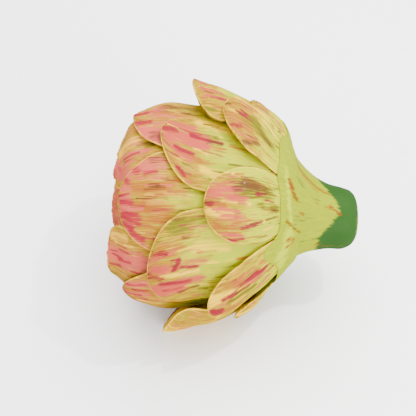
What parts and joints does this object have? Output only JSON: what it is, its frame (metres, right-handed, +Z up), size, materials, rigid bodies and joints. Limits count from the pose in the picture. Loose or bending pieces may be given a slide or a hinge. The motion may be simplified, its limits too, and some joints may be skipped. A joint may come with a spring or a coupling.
{
  "type": "ceramic artichoke",
  "caption": "Hand-painted glazed ceramic artichoke lying on its side, with overlapping pointed bracts round a heart and a short flared stem.",
  "frame": {"origin": "centre of the small flat spot under the belly bract, where the artichoke rests on the floor", "axes": "+Z up; +X along the artichoke from the top of the head to the end of the stem; +Y to the side away from the viewer"},
  "size_m": [0.1179, 0.1141, 0.1061],
  "materials": {
    "outer_glaze": "glossy, brushed yellow-green with rose tips",
    "middle_glaze": "glossy, brushed rose and red over yellow",
    "inner_glaze": "glossy, pink over pale yellow",
    "stem_glaze": "glossy yellow-green, smooth dark green end"
  },
  "bodies": {
    "root": {"bract_1_back": "outer_glaze", "bract_1_back_low": "outer_glaze", "bract_1_front": "outer_glaze", "bract_1_lower": "outer_glaze", "bract_1_small_lower": "outer_glaze", "bract_1_small_upper": "outer_glaze", "bract_1_under": "outer_glaze", "bract_1_upper": "outer_glaze", "bract_2_back": "outer_glaze", "bract_2_lower_front": "outer_glaze", "bract_2_spread_lower": "outer_glaze", "bract_2_spread_upper": "outer_glaze", "bract_2_under": "outer_glaze", "bract_2_upper_front": "outer_glaze", "bract_3_back": "middle_glaze", "bract_3_back_low": "middle_glaze", "bract_3_front": "middle_glaze", "bract_3_lower": "middle_glaze", "bract_3_under": "middle_glaze", "bract_3_upper": "middle_glaze", "bract_4_back": "middle_glaze", "bract_4_back_low": "middle_glaze", "bract_4_lower_front": "middle_glaze", "bract_4_under": "middle_glaze", "bract_4_upper": "middle_glaze", "bract_4_upper_front": "middle_glaze", "bract_5_1": "inner_glaze", "bract_5_2": "inner_glaze", "bract_5_3": "inner_glaze", "bract_5_4": "inner_glaze", "bract_5_5": "inner_glaze", "bract_5_6": "inner_glaze", "bract_6_1": "inner_glaze", "bract_6_2": "inner_glaze", "bract_6_3": "inner_glaze", "bract_6_4": "inner_glaze", "bract_6_5": "inner_glaze", "bud": "inner_glaze", "stem": "stem_glaze"}
  },
  "joints": []
}
